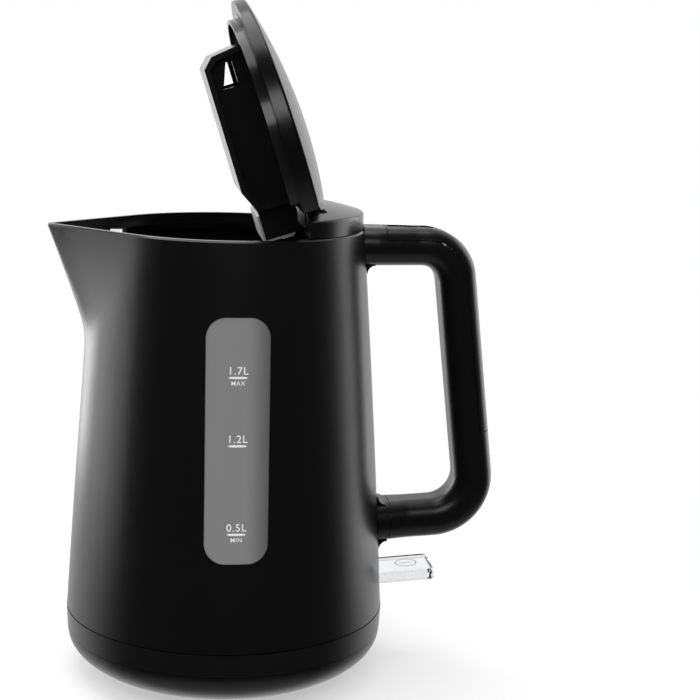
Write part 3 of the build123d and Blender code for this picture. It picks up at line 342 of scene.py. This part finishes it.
# Switch sign on the lever: a ring with a bar in it.
# Both stand a hair proud of the clear top face and are left matt.
sign_centre = 0.0262
sign_foot = 0.00002
sign_crest = 0.00012
ring_radius = 0.0055
ring_half_width = 0.00025
ring_steps = 72
stroke_half_length = 0.0037
stroke_half_width = 0.00027
stroke_steps = 24
sign_mesh = bmesh.new()
sign_grey = moulding("sign_grey", (0.3, 0.3, 0.3), 0.6, 0.1)
ring_turns = [2 * math.pi * n / ring_steps for n in range(ring_steps)]
edge_rings = []
for side, lift in ((-1, sign_foot), (0, sign_crest), (1, sign_foot)):
    reach = ring_radius + side * ring_half_width
    edge_rings.append([
        sign_mesh.verts.new(on_lever(sign_centre + reach * math.cos(turn), reach * math.sin(turn), lift))
        for turn in ring_turns
    ])
for inner, outer in zip(edge_rings, edge_rings[1:]):
    for n in range(ring_steps):
        following = (n + 1) % ring_steps
        sign_mesh.faces.new((inner[n], outer[n], outer[following], inner[following]))
stroke_rows = []
for n in range(stroke_steps + 1):
    along = 2 * n / stroke_steps - 1
    half = stroke_half_width * (1 - along**8) ** 0.5
    stroke_rows.append([
        sign_mesh.verts.new(on_lever(sign_centre + along * stroke_half_length, side * half, lift))
        for side, lift in ((-1, sign_foot), (0, sign_crest), (1, sign_foot))
    ])
for before, after in zip(stroke_rows, stroke_rows[1:]):
    for low in (0, 1):
        sign_mesh.faces.new((before[low], after[low], after[low + 1], before[low + 1]))
sign_data = bpy.data.meshes.new("lever_sign")
bmesh.ops.remove_doubles(sign_mesh, verts=sign_mesh.verts, dist=1e-7)
sign_mesh.to_mesh(sign_data)
sign_data.materials.append(sign_grey)
lever_sign = bpy.data.objects.new("lever_sign", sign_data)
bpy.context.scene.collection.objects.link(lever_sign)
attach(lever_sign, "lever")

# Lid: a shallow satin dome over a polished liner with a hanging tub, hinged at the rear cap.
# A ribbed steel catch under the tub's tail is what the latch holds.
gloss_black = moulding("gloss_black", (0.008, 0.008, 0.0082), 0.16, 0.02)
lid_black = moulding("lid_black", deep_black, 0.22, 0.05)
dress(lid_black, "lid_outer", "hinge_housing")
dress(gloss_black, "lid_liner")
bright_steel = metal("bright_steel", (0.9, 0.9, 0.9), 0.5)
dress(bright_steel, "lid_catch")

# Table: a pale flat top that the kettle stands on.
# It keeps the kettle's shadow and fades into the white round it.
table_radius = 3.0
fade_start = 0.1
fade_end = 0.34
table_clear = 0.45
bpy.ops.mesh.primitive_circle_add(vertices=128, radius=table_radius, fill_type="NGON")
floor = bpy.context.object
floor.name = "floor"
floor.visible_glossy = False
pale_floor, shade = new_material("pale_floor")
place = shade.node("TexCoord", output=3)
reach = shade.node("VectorMath", {"operation": "LENGTH"}, {0: place}, output=1)
fade = shade.node("MapRange", {"interpolation_type": "SMOOTHSTEP"}, {0: reach, 1: fade_start, 2: fade_end})
matt = shade.node("BsdfDiffuse", {}, {"Color": (0.9, 0.9, 0.9, 1.0)})
gone = shade.node("BsdfTransparent", {}, {"Color": (1.0, 1.0, 1.0, 1.0)})
surface = shade.node("MixShader", {}, {0: table_clear + (1 - table_clear) * fade, 1: matt, 2: gone})
shade.node("OutputMaterial", {}, {"Surface": surface})
floor.data.materials.append(pale_floor)

# Studio: white all round for the camera, dark in front and bright behind for the gloss,
# with a faint glow from the table below. Five softboxes stand round the kettle.
gloss_level = 0.9
fill_level = 0.85
table_glow = 0.42
world = bpy.data.worlds.new("studio")
bpy.context.scene.world = world
world.use_nodes = True
world.node_tree.nodes.clear()
shade = Shade(world.node_tree)
ray = shade.node("LightPath")
glossy = Shade(shade.tree, ray.socket.node.outputs["Is Glossy Ray"])
through = Shade(shade.tree, ray.socket.node.outputs["Is Transmission Ray"])
heading = shade.node("TexCoord", output=0)
parts = shade.node("SeparateXYZ", {}, {0: heading})
back = Shade(shade.tree, parts.socket.node.outputs["Y"])
behind = shade.node("MapRange", {"interpolation_type": "SMOOTHSTEP"}, {0: back, 1: -0.1, 2: 0.6})
height = Shade(shade.tree, parts.socket.node.outputs["Z"])
table = shade.node(
    "MapRange", {"interpolation_type": "SMOOTHSTEP"}, {0: height, 1: -0.4, 2: -0.95, 4: table_glow}
)
around = shade.maths("MAXIMUM", behind, table)
level = ray + glossy * gloss_level * around + through * behind + (1 - glossy - through - ray) * fill_level
light = shade.node("Background", {}, {"Color": (1.0, 1.0, 1.0, 1.0), "Strength": level})
shade.node("OutputWorld", {}, {"Surface": light})


def softbox(name, place, target, width, height, power):
    """A lamp with a large soft face, aimed at a point on the kettle."""
    lamp = bpy.data.lights.new(name, "AREA")
    lamp.shape = "RECTANGLE"
    lamp.size = width
    lamp.size_y = height
    lamp.energy = power
    holder = bpy.data.objects.new(name, lamp)
    holder.location = place
    holder.rotation_euler = (Vector(target) - Vector(place)).to_track_quat("-Z", "Y").to_euler()
    bpy.context.scene.collection.objects.link(holder)


softbox("left_softbox", (-1.16, 0.3, 0.4), (0, 0, 0.15), 0.85, 1.2, 5.5)
softbox("left_back_softbox", (-0.75, 1.0, 0.4), (0, 0, 0.15), 0.6, 1.2, 6.5)
softbox("right_softbox", (1.05, 0.5, 0.3), (0, 0, 0.15), 0.85, 1.1, 4.2)
softbox("top_softbox", (-0.2, 0.15, 1.3), (0, 0, 0.2), 0.8, 1.1, 7.0)
softbox("front_softbox", (-0.05, -1.1, 0.85), (0, 0, 0.2), 0.6, 0.4, 2.6)

# Camera at the photograph's place, fitted to its outlines:
# a little above the rim, turned a little towards the spout side and rolled slightly.
camera_place = (-0.0501, -0.7962, 0.3170)
camera_data = bpy.data.cameras.new("camera")
camera_data.lens = 81.82
camera_data.sensor_width = 36.0
camera = bpy.data.objects.new("camera", camera_data)
turn, dip, roll = math.radians(8.03), math.radians(10.64), 0.0307
ahead = Vector((math.sin(turn) * math.cos(dip), math.cos(turn) * math.cos(dip), -math.sin(dip)))
level_right = Vector((math.cos(turn), -math.sin(turn), 0))
upward = level_right.cross(ahead)
right = level_right * math.cos(roll) + upward * math.sin(roll)
upward = right.cross(ahead)
camera.matrix_world = Matrix.Translation(camera_place) @ Matrix(
    (right, upward, -ahead)
).transposed().to_4x4()
bpy.context.scene.collection.objects.link(camera)
bpy.context.scene.camera = camera
bpy.context.scene.view_settings.view_transform = "Standard"
